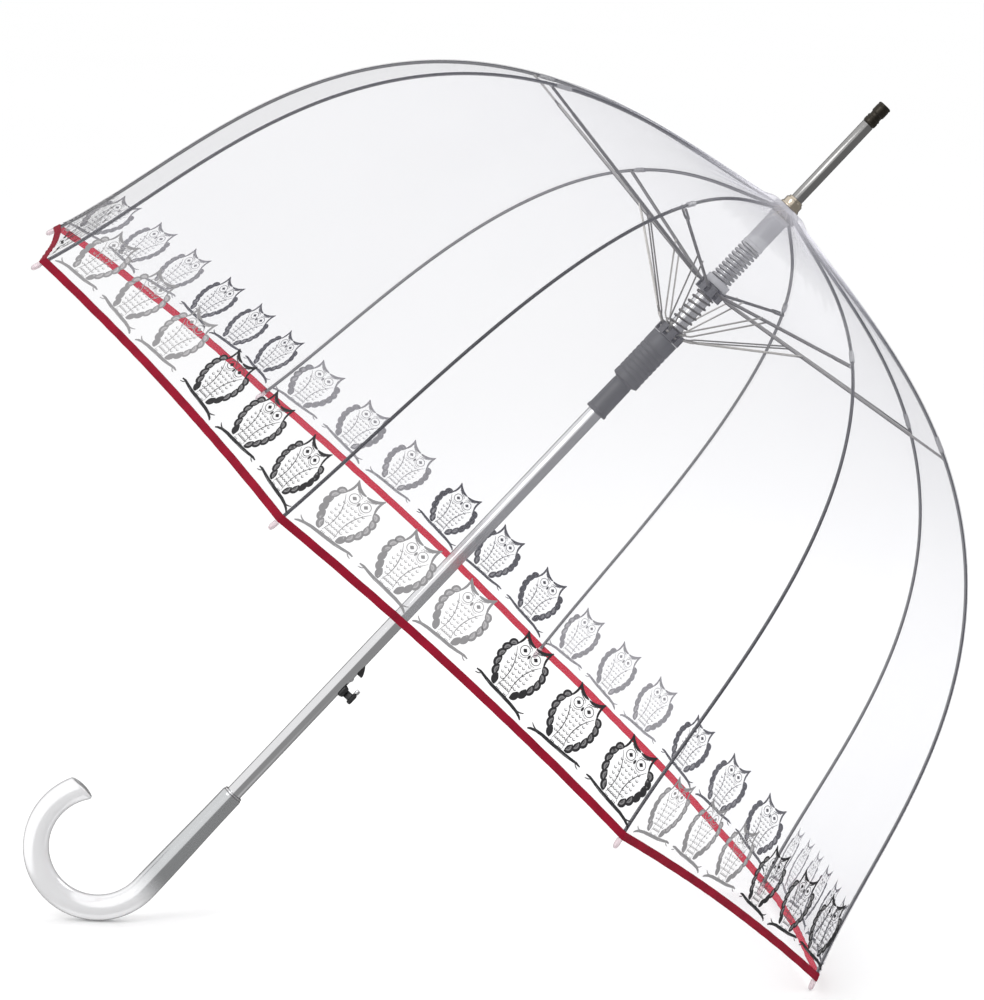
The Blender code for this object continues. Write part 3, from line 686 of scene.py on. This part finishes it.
# ---------------------------------------------------------------- struts, links and rivets
# Pressed steel struts push the ribs out, and pairs of thin wires tie them to the runner.
# Each strut's fork rides on a rivet in a small clear clip on the rib.
strut_steel = finish_of(
    "strut_steel", (0.15, 0.145, 0.14), (0.25, 0.245, 0.24), (0.28, 0.42), 0.8, 110.0, 0.04,
)
link_steel = finish_of("link_steel", (0.30, 0.29, 0.27), (0.42, 0.41, 0.39), (0.25, 0.38), 0.9, 120.0, 0.03)
clear_clip = finish_of(
    "clear_clip", (0.36, 0.36, 0.37), (0.50, 0.50, 0.51), (0.10, 0.20), 0.0, 80.0, 0.03,
    {"Transmission Weight": 0.35, "IOR": 1.49},
)
BRACKET = 0.346
clip_shares = BRACKET + np.linspace(-0.026, -0.006, 14)
r, z, _ = dome_line(clip_shares)
clip_line = np.stack([r, z], -1)
CLIP_SIDES = 16
RIVET_SIDES = 14
clip_half = np.array([0.0016, 0.0019, 0.0022, 0.0023, 0.0023, 0.0021, 0.0021])
clip_round = np.concatenate([clip_half, clip_half[::-1]])
clip_points = rod_along(clip_line, clip_round, np.minimum(clip_round, 0.0018), CLIP_SIDES)
r, z, slope = (float(v) for v in dome_line(BRACKET, -0.0015))
rivet_angle = circle(RIVET_SIDES)
rivet_size = np.array([0.0002, 0.0007, 0.0009, 0.0009, 0.0007, 0.0002])[:, None]
rivet_at = np.array([-0.00178, -0.00178, -0.00170, 0.00170, 0.00178, 0.00178])[:, None]
rivet_x, rivet_z = r + rivet_size * np.cos(rivet_angle), z + rivet_size * np.sin(rivet_angle)
rivet_points = np.stack([rivet_x, rivet_at + 0 * rivet_angle, rivet_z], -1).reshape(-1, 3)
for k in range(1, GORES + 1):
    refinished(f"strut_{k}", strut_steel)
    refinished(f"link_{k}", link_steel)
    clip = rod_piece(f"rib_clip_{k}", clip_points, CLIP_SIDES, rib_azimuth(k))
    rides(clip, f"rib_body_{k}", clear_clip, "clear_plastic")
    rivet = rod_piece(f"rib_rivet_{k}", rivet_points, RIVET_SIDES, rib_azimuth(k))
    rides(rivet, f"rib_body_{k}", plated, "bright_steel")

# ---------------------------------------------------------------- canopy film
# One canopy of clear film in eight gores, welded along the ribs. It is stretched flat
# between neighbouring ribs and pulled into a shallow scallop at the hem. Each rib carries
# the film as far as the middle of its two gores.
FILM_LIFT = 0.0021
FILM_INSET = 0.0022
SCALLOP = 0.005
HEM_OVER = 0.0036
HALF_GORE = math.pi / GORES
HEM_HALF_CHORD = (end_r + FILM_LIFT) * math.sin(HALF_GORE)
HEM = 1 + HEM_OVER / RIB_LENGTH


def smooth(low, high, value):
    """0 up to low, 1 from high, and the cubic 3t^2 - 2t^3 between."""
    t = np.clip((value - low) / (high - low), 0, 1)
    return t * t * (3 - 2 * t)


def scallop(side):
    """How far the hem draws back, as a share of the rib: nothing at the rib, and a smooth
    parabola to the middle of the gore."""
    return SCALLOP / RIB_LENGTH * (1 - (1 - np.abs(side)) ** 2)


def film_line(share, lift):
    """Radius and height of the film over a rib: the dome's line, run on inwards at negative
    shares and straight past the rib's end, and raised over the rim of the notch to the
    underside of the collar."""
    radius, height, slope = dome_line(np.clip(share, 0, 1), lift)
    past = np.maximum(share - 1, 0) * RIB_LENGTH
    radius = radius + np.minimum(share, 0) * RIB_LENGTH + past * np.sin(slope)
    height = height - past * np.cos(slope)
    over = 1 - smooth(0.0126, 0.0260, radius)
    return radius, height + over * (0.0050 + lift - FILM_LIFT - height)


def on_film(share, side, lift):
    """Points of the film: share runs down the rib, side from -1 to 1 between the middles
    of the two gores. A point is mixed in a straight line from the rib to the middle of the
    gore, and the middle lies in by the cosine of the half gore."""
    radius, height = film_line(share, lift)
    middle = radius * math.cos(HALF_GORE)
    x = radius + (middle * math.cos(HALF_GORE) - radius) * np.abs(side)
    y = middle * math.sin(HALF_GORE) * side
    return np.stack([x, y, height + 0 * side], -1)


def pucker(share, side):
    """Small waves in the stretched film, in metres: pleats that run down from the collar,
    and short ones that the hem's stitching draws up. They die out at the rib and at the
    middle of the gore, where the next share of film begins."""
    held = np.maximum(np.sin(np.pi * np.abs(side)), 0) ** 0.7
    top = smooth(0.0, 0.05, share) * (1 - smooth(0.08, 0.45, share))
    pleats = np.sin(31 * side + 1.3) * np.sin(13 * side) * top
    gathers = np.sin(44 * side + 2 * np.sin(9 * side)) * smooth(0.93, 0.995, share)
    slack = np.sin(5.1 * side + 9 * share) * np.sin(11 * share + 2.2) * smooth(0.05, 0.3, share)
    return held * (0.0007 * pleats + 0.0004 * gathers + 0.0006 * slack)


def film_material():
    """Clear film: a thin grey haze, denser at grazing angles, with a soft gloss. The veil
    attribute thickens it towards the top, where it is gathered under the collar and faint
    streaks run down, and slow ripples come from rolling and folding."""
    made, tree, shader = new_material("clear_film_welded")
    uv = node_output(tree, "UVMap", "UV", uv_map="UVMap")
    spread = node_output(tree, "Attribute", "Vector", attribute_name="spread")
    veil = node_output(tree, "Attribute", "Fac", attribute_name="veil")
    ripple = noise(tree, uv, 9.0, Detail=3.0)
    creases = noise(tree, uv, 30.0, Detail=5.0, Distortion=0.6)
    streaks = ranged(tree, noise(tree, spread, 3.0, Detail=4.0, Roughness=0.6), 0.0, 0.07, 0.50, 0.75)
    haze = mixed(tree, ripple, (0.42, 0.42, 0.51, 1), (0.56, 0.56, 0.64, 1))
    thick = ranged(tree, veil, 0.0, 1.0, 0.06, 0.34)
    facing = node_output(tree, "LayerWeight", "Facing", {"Blend": 0.22})
    streaked = reckoned(tree, "MULTIPLY_ADD", streaks, veil, veil)
    feed(tree, shader, {
        "Base Color": mixed(tree, thick, haze, (0.85, 0.84, 0.92, 1)),
        "Alpha": reckoned(tree, "ADD", ranged(tree, facing, 0.082, 0.24), streaked, use_clamp=True),
        "Roughness": ranged(tree, creases, 0.08, 0.20),
        "Normal": relief_of(tree, ripple, 0.35, 0.004),
        "IOR": 1.45,
    })
    return made


clear_film = film_material()
ROWS, TOP_ROWS = 110, 13
HALF_COLUMNS = 33
COLUMNS = 2 * HALF_COLUMNS - 1
TOP_SHARE = 0.035
LAP = 1.0003
top_down = np.linspace(-FILM_INSET / RIB_LENGTH, TOP_SHARE, TOP_ROWS + 1)[:-1]
down = np.concatenate([top_down, np.linspace(TOP_SHARE, HEM, ROWS - TOP_ROWS)])[:, None]
side = np.linspace(-LAP, LAP, COLUMNS)[None, :]
share = down - scallop(side) * np.maximum(down, 0)
film_grid = on_film(share, side, FILM_LIFT + pucker(share, side))
film_widths = np.linalg.norm(np.diff(film_grid, axis=1), axis=2).sum(1)
film_points = film_grid.reshape(-1, 3)
film_uv = np.stack([side * film_widths[:, None] / 2 + 0.5, share * RIB_LENGTH], -1).reshape(-1, 2)
film_veil = 0.34 * (1 - smooth(0.0, 0.24, share)) + 0.05 * (1 - smooth(0.0, 0.7, share))
film_spread = np.stack([side * 14 + 0 * share, share * 1.6, 0 * share], -1).reshape(-1, 3)

# ---------------------------------------------------------------- welded seams
# Where two gores meet over a rib the film is doubled and pressed flat, a clear band a few
# millimetres wide whose two edges catch the light.
seam_finish = finish_of(
    "welded_seam", (0.36, 0.36, 0.39), (0.50, 0.50, 0.54), (0.20, 0.34), 0.0, 120.0, 0.2, {"Alpha": 0.16},
)
SEAM_HALF = 0.0020
SEAM_ROWS = 130
seam_share = np.linspace(0.004, 0.9995, SEAM_ROWS)[:, None]
seam_across = np.array([-1.0, -0.75, 0.75, 1.0])
seam_lift = np.array([0.0001, 0.0003, 0.0003, 0.0001])
seam_radius, seam_height = film_line(seam_share + 0 * seam_across, FILM_LIFT + seam_lift)
seam_y = SEAM_HALF * seam_across + 0 * seam_share
seam_x = seam_radius - np.abs(seam_y) * math.tan(HALF_GORE)
seam_points = np.stack([seam_x, seam_y, seam_height], -1).reshape(-1, 3)
seam_faces = grid_faces(SEAM_ROWS, 4, False)[:, ::-1]
seam_faces = seam_faces[np.arange(len(seam_faces)) % 3 != 1]

# ---------------------------------------------------------------- hem tape
# A crimson woven tape is folded over the hem and sewn, 5.5 mm wide on each face. The weave
# runs along it, and its sewing draws it in near the upper edge.
TAPE = 0.0055


def tape_material():
    """Woven tape: crossed waves on the strip's own map darken the valleys between threads as painted shade,
    and give the threads' relief.
    The half turned in under the film is a lighter red, for it is lit through."""
    made, tree, shader = new_material("crimson_tape")
    uv = node_output(tree, "UVMap", "UV", uv_map="UVMap")
    threads = {"Vector": uv, "Scale": 400.0}
    along, over = (node_output(tree, "TexWave", "Fac", threads, bands_direction=way) for way in "XY")
    weave = reckoned(tree, "MULTIPLY", along, over)
    # painted shade in the weave's valleys, mixed with slow random mottling
    thread_shade_and_mottle = reckoned(tree, "MULTIPLY_ADD", weave, 0.35, noise(tree, uv, 60.0))
    woven = mixed(tree, thread_shade_and_mottle, (0.10, 0.0012, 0.009, 1), (0.34, 0.004, 0.026, 1))
    across_it = node_output(tree, "SeparateXYZ", "Y", {"Vector": uv})
    turned_in = ranged(tree, across_it, 0.0, 1.0, TAPE * 1.15, TAPE * 1.30)
    feed(tree, shader, {
        "Base Color": mixed(tree, turned_in, woven, (0.55, 0.010, 0.036, 1)),
        "Normal": relief_of(tree, weave, 0.4, 0.0004),
        "Roughness": 0.7,
        "Specular IOR Level": 0.15,
    })
    return made


crimson_tape = tape_material()
loop_up, loop_lift = np.array([
    (TAPE, 0.0001), (TAPE, 0.0004), (TAPE * 0.8, 0.0006), (TAPE * 0.72, 0.00045), (0.001, 0.0006),
    (-0.0006, 0.0005), (-0.0010, 0.0), (-0.0006, -0.0004), (0.001, -0.00045), (TAPE * 0.72, -0.00035),
    (TAPE * 0.8, -0.00045), (TAPE, -0.0003),
]).T
tape_side = np.linspace(-1, 1, COLUMNS)[:, None] + 0 * loop_up
tape_share = HEM - scallop(tape_side) - loop_up / RIB_LENGTH
tape_points = on_film(tape_share, tape_side, FILM_LIFT + loop_lift + pucker(tape_share, tape_side))
loop_run = np.cumsum(np.abs(np.diff(loop_up, prepend=TAPE)))
tape_uv = np.stack([tape_side * HEM_HALF_CHORD, loop_run + 0 * tape_side], -1)

# ---------------------------------------------------------------- printed owls
# A row of six small owls to each gore is printed in black ink on the outside of the film,
# each on its own stroke of branch. The owl is a plain generic one: two tufts, round
# eyes, a small beak, wings of six feathers and rows of ticks on the breast.
OWL_PITCH = 0.0559
OWL_SHIFT = 0.0035
BRANCH_UP = 0.0132


def stroke(line, width, end=0.35):
    """A brush stroke: a line of points widened square to itself by a half sine, down to the
    end share of its width at both ends."""
    line = np.array(line, float)
    along = np.linspace(0, 1, len(line))
    step = np.gradient(line, axis=0)
    step = step / np.maximum(np.linalg.norm(step, axis=1, keepdims=True), 1e-9)
    normal = np.stack([-step[:, 1], step[:, 0]], -1)
    half = width / 2 * (end + (1 - end) * np.sin(np.pi * np.clip(along, 0.004, 0.996)) ** 0.6)
    points = np.concatenate([line + normal * half[:, None], line - normal * half[:, None]])
    n = len(line)
    i = np.arange(n - 1)
    return points, np.stack([i, i + n, i + n + 1, i + 1], -1)


def bent(start, stop, bow, count=9):
    """A line from start to stop that bows sideways by a parabola."""
    start, stop = np.array(start, float), np.array(stop, float)
    t = np.linspace(0, 1, count)[:, None]
    run = stop - start
    return start + run * t + np.array([-run[1], run[0]]) / np.linalg.norm(run) * bow * 4 * t * (1 - t)


def arc(centre, wide, tall, start, stop, count=12):
    """Points on part of an oval, from one angle to another in degrees."""
    angle = np.radians(np.linspace(start, stop, count))
    return np.stack([centre[0] + wide * np.cos(angle), centre[1] + tall * np.sin(angle)], -1)


def owl_ink():
    """The owl's inked shapes in millimetres over the branch: points, faces, and how pale
    each one is. A side of the owl is drawn for s = -1 and mirrored for s = 1."""
    inked = []

    def ink(tone, line, width, end=0.35):
        """Keeps one brush stroke with its tone."""
        inked.append((*stroke(line, width, end), tone))

    for s in (-1, 1):
        wing = np.array([
            (14.3, 36.2), (17.0, 31.5), (18.0, 25.6), (17.3, 19.6), (14.9, 13.6), (11.4, 8.2), (7.2, 3.6),
        ])
        for n in range(6):
            root, tip = wing[n] * (s, 1), wing[n + 1] * (s, 1)
            lean = (tip - root) * 0.42
            out = np.array([-lean[1], lean[0]]) * s
            a, b = root - lean * 0.2 - out * 0.75, tip + lean * 0.45 + out * 0.55
            ink(0.01, bent(a, b, 1.1 * s), 5.6, 0.0)
            ink(0.36, bent(a * 0.85 + b * 0.15, a * 0.2 + b * 0.8, 0.9 * s, 7), 2.7 - 0.12 * n, 0.0)
            ink(0.05, bent(a * 0.7 + b * 0.3, a * 0.35 + b * 0.65, 0.6 * s, 5), 0.6, 0.2)
        ink(0.10, bent((12.3 * s, 34), (5.5 * s, 2.6), -4.2 * s, 14), 0.75)
        ink(0.01, bent((12.6 * s, 47.8), (13.6 * s, 35.2), -1.5 * s, 12), 1.9)
        ink(0.01, bent((12.9 * s, 48.0), (0.3 * s, 42.0), 2.0 * s, 14), 2.5, 0.3)
        ink(0.16, bent((10.6 * s, 44.8), (2.0 * s, 39.9), 1.2 * s, 10), 0.8)
        for n in range(5):
            at = np.array([(9.6 - 1.9 * n) * s, 44.2 - 0.95 * n])
            ink(0.12, [at, at - (0.9 * s, 2.6)], 0.95)
        ink(0.14, arc((5.4 * s, 35.4), 3.9, 3.7, 0, 360, 20), 0.65, 0.9)
        ink(0.01, [(3.6 * s, 35.4), (5.4 * s, 35.45), (7.2 * s, 35.4)], 3.5, 0.1)
        ink(0.34, arc((5.6 * s, 35.4), 5.2, 5.2, 200 if s > 0 else -20, 300 if s > 0 else -120, 8), 0.5)
        for n in (-1, 0, 1):
            foot = (3.6 * s + 1.15 * n, 2.2)
            ink(0.03, [foot, (foot[0] + 0.25 * n, 0.4), (foot[0] + 0.35 * n, -1.0)], 0.9)
    ink(0.02, [(0, 35.6), (0, 34.4), (0, 33.2), (0, 31.6)], 2.2, 0.0)
    for row in range(7):
        half = (10.6, 11.2, 11.4, 11.0, 9.8, 7.8, 5.0)[row]
        for n in range(6):
            x = -half + half / 3 * (n + 0.5) + (0.35 if row % 2 else -0.35)
            y = 29.6 - 3.9 * row
            ink(0.16, arc((x, y), 1.25, 1.7, 190, 350, 6), 0.72)
            ink(0.28, [(x, y + 0.3), (x + 0.1, y - 0.9)], 0.6)
    branch = [
        (-24.5, 1.6), (-21, 1.9), (-15, 0.9), (-9, 0.1), (-2, -0.2),
        (5, -0.6), (12, -0.9), (18, -1.9), (22, -3.4), (24, -4.8),
    ]
    ink(0.01, branch, 2.7)
    ink(0.06, bent((15.5, -1.2), (23.4, 1.0), -1.0), 1.1)
    ink(0.10, bent((-19.5, 1.6), (-24.2, -0.9), 0.6), 0.9)
    ink(0.30, bent((-14, 0.4), (6, -1.5), -0.4), 0.5)
    return inked


def ink_sheet():
    """All shapes of one rib's six owls as one flat mesh: the owl repeated at its pitch,
    every second one turned over, each shape a hair higher than the one it covers."""
    points, faces, dark, high = [], [], [], []
    base = 0
    for place in (-2.5, -1.5, -0.5, 0.5, 1.5, 2.5):
        flip = -1 if int(place * 2) % 4 == 1 else 1
        for n, (shape, quads, tone) in enumerate(owl_ink()):
            points.append(shape * (0.001 * flip, 0.001) + (place * OWL_PITCH + OWL_SHIFT, BRANCH_UP))
            faces.append(quads[:, ::flip] + base)
            dark.append(np.full(len(shape), tone))
            high.append(np.full(len(shape), 0.00040 + 0.000004 * (n % 3)))
            base += len(shape)
    return np.concatenate(points), np.concatenate(faces), np.concatenate(dark), np.concatenate(high)


def ink_material():
    """Screen ink: the tone attribute gives black or thin grey, broken by fine noise where
    the ink took unevenly. A face turned away is paler, as ink seen through the film."""
    made, tree, shader = new_material("screen_ink")
    grain = noise(tree, node_output(tree, "TexCoord", "Object"), 700.0, Detail=3.0)
    tone = node_output(tree, "Attribute", "Fac", attribute_name="tone")
    turned_away = node_output(tree, "NewGeometry", "Backfacing")
    uneven = reckoned(tree, "MULTIPLY_ADD", grain, 0.06, tone)
    paler = reckoned(tree, "MULTIPLY_ADD", turned_away, 0.46, uneven)
    feed(tree, shader, {
        "Base Color": mixed(tree, paler, (0.008, 0.008, 0.010, 1), (0.50, 0.49, 0.50, 1)),
        "Roughness": ranged(tree, grain, 0.45, 0.65),
        "Specular IOR Level": 0.15,
    })
    return made


screen_ink = ink_material()
ink_flat, ink_faces, ink_tone, ink_high = ink_sheet()
ink_side = ink_flat[:, 0] / HEM_HALF_CHORD
ink_share = HEM - scallop(ink_side) - ink_flat[:, 1] / RIB_LENGTH
ink_points = on_film(ink_share, ink_side, FILM_LIFT + ink_high + pucker(ink_share, ink_side))


def drawn_to_rib(made):
    """Gives a half of the hem tape or of the print its own copy of its mesh."""
    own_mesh(made)


# half a print: both halves take the first one's faces, so the right half's are wound
# inwards and its ink is the paler one seen from outside (a known fault)
half_ink = len(ink_points) // 2
half_ink_faces = ink_faces[: len(ink_faces) // 2]
film_faces = grid_faces(ROWS, COLUMNS, False)[:, ::-1]
for k in range(1, GORES + 1):
    turn = rib_azimuth(k)
    body, fold = f"rib_body_{k}", f"rib_fold_{k}"
    film = piece(f"film_gore_{k}", placed(round_the_shaft(film_points, turn)), film_faces, True, film_uv)
    attribute(film, "veil", film_veil)
    attribute(film, "spread", film_spread + (0, 0, 5.0 * k), "FLOAT_VECTOR")
    seam = piece(f"film_seam_{k}", placed(round_the_shaft(seam_points, turn)), seam_faces)
    halves = []
    for name, hand, columns, inked in (
        ("left", -1, slice(0, HALF_COLUMNS), slice(0, half_ink)),
        ("right", 1, slice(HALF_COLUMNS - 1, COLUMNS), slice(half_ink, None)),
    ):
        tape = piece(
            f"hem_tape_{name}_{k}",
            placed(round_the_shaft(tape_points[columns].reshape(-1, 3), turn)),
            grid_faces(HALF_COLUMNS, len(loop_up), True),
            True,
            tape_uv[columns].reshape(-1, 2),
        )
        rides(tape, body, crimson_tape, "clear_film")
        drawn_to_rib(tape)
        ink_at = placed(round_the_shaft(ink_points[inked], turn))
        ink = piece(f"owl_print_{name}_{k}", ink_at, half_ink_faces, False)
        attribute(ink, "tone", ink_tone[inked])
        rides(ink, body, screen_ink, "clear_film")
        drawn_to_rib(ink)
        halves += [tape, ink]
    rides(film, body, clear_film, "clear_film", f"film_{k}")
    rides(seam, body, seam_finish, "clear_film")
    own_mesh(film)

# ---------------------------------------------------------------- floor, light and camera
# A plain white studio floor that runs out of sight, a bright even surround, two large soft
# lights, and a long lens from a little above. What shines mirrors a soft box up on the
# left and a dimmer room elsewhere.
REACH = 300.0
corners = REACH * np.array([[-1.0, -1, 0], [1, -1, 0], [1, 1, 0], [-1, 1, 0]])
floor = piece("studio_floor", corners, [[0, 1, 2, 3]], False)
floor.data.materials.append(finish_of(
    "studio_paint", (0.92, 0.92, 0.92), (0.93, 0.93, 0.93), (0.7, 0.8), 0.0, 0.5, 0.0,
    {"Specular IOR Level": 0.0},
))
floor.visible_glossy = False


def studio_world():
    """White for the camera and for soft light. Reflections see the soft box where the
    direction leans up and left, a grey room behind, and a glow from below."""
    world = bpy.data.worlds.new("studio")
    world.use_nodes = True
    tree = world.node_tree
    white = tree.nodes["Background"]
    feed(tree, white, {"Color": (1.0, 1.0, 1.0, 1), "Strength": 1.08})
    way = node_output(tree, "TexCoord", "Generated")
    up_left = {0: way, 1: (-0.70, -0.05, 0.71)}
    lean = node_output(tree, "VectorMath", "Value", up_left, operation="DOT_PRODUCT")
    depth = node_output(tree, "SeparateXYZ", "Y", {"Vector": way})
    height = node_output(tree, "SeparateXYZ", "Z", {"Vector": way})
    box = ranged(tree, lean, 0.42, 1.35, 0.12, 0.28, interpolation_type="SMOOTHSTEP")
    behind = ranged(tree, depth, 1.0, 0.34, 0.56, 0.80, interpolation_type="SMOOTHSTEP")
    under = ranged(tree, height, 0.0, 0.6, -0.78, -0.95, interpolation_type="SMOOTHSTEP")
    strength = reckoned(tree, "MULTIPLY_ADD", box, behind, under)
    mirrored = node_output(tree, "Background", "Background", {"Strength": strength})
    glossy = node_output(tree, "LightPath", "Is Glossy Ray")
    both = {"Fac": glossy, 1: white.outputs["Background"], 2: mirrored}
    feed(tree, tree.nodes["World Output"], {"Surface": node_output(tree, "MixShader", "Shader", both)})
    return world


bpy.context.scene.world = studio_world()


def soft_light(name, place, size, power):
    """A square area light that points at the middle of the umbrella."""
    lamp = bpy.data.lights.new(name, "AREA")
    lamp.size = size
    lamp.energy = power
    made = bpy.data.objects.new(name, lamp)
    made.location = place
    made.rotation_euler = (Vector((0, 0, 0.35)) - Vector(place)).to_track_quat("-Z", "Y").to_euler()
    bpy.context.scene.collection.objects.link(made)


soft_light("key_light", (-1.6, -2.0, 2.4), 1.6, 22.0)
soft_light("rim_light", (1.8, 1.4, 2.0), 1.2, 12.0)

AZIMUTH, ELEVATION, ROLL = (math.radians(a) for a in (-3.88, 7.52, 2.54))
DISTANCE = 3.712
LENS = 167.0
TARGET = Vector((0.0, 0.0, 0.353))
level = Vector((math.cos(AZIMUTH), math.sin(AZIMUTH), 0))
look = Vector((
    -math.sin(AZIMUTH) * math.cos(ELEVATION),
    math.cos(AZIMUTH) * math.cos(ELEVATION),
    -math.sin(ELEVATION),
))
rise = level.cross(look)
right = level * math.cos(ROLL) + rise * math.sin(ROLL)
top = rise * math.cos(ROLL) - level * math.sin(ROLL)
lens = bpy.data.cameras.new("studio_camera")
lens.lens = LENS
lens.sensor_width = 36.0
lens.clip_end = 1000.0
camera = bpy.data.objects.new("studio_camera", lens)
bpy.context.scene.collection.objects.link(camera)
turned_to = Matrix((right, top, -look)).transposed().to_4x4()
camera.matrix_world = Matrix.Translation(TARGET - look * DISTANCE) @ turned_to
bpy.context.scene.camera = camera
bpy.context.scene.view_settings.view_transform = "Standard"
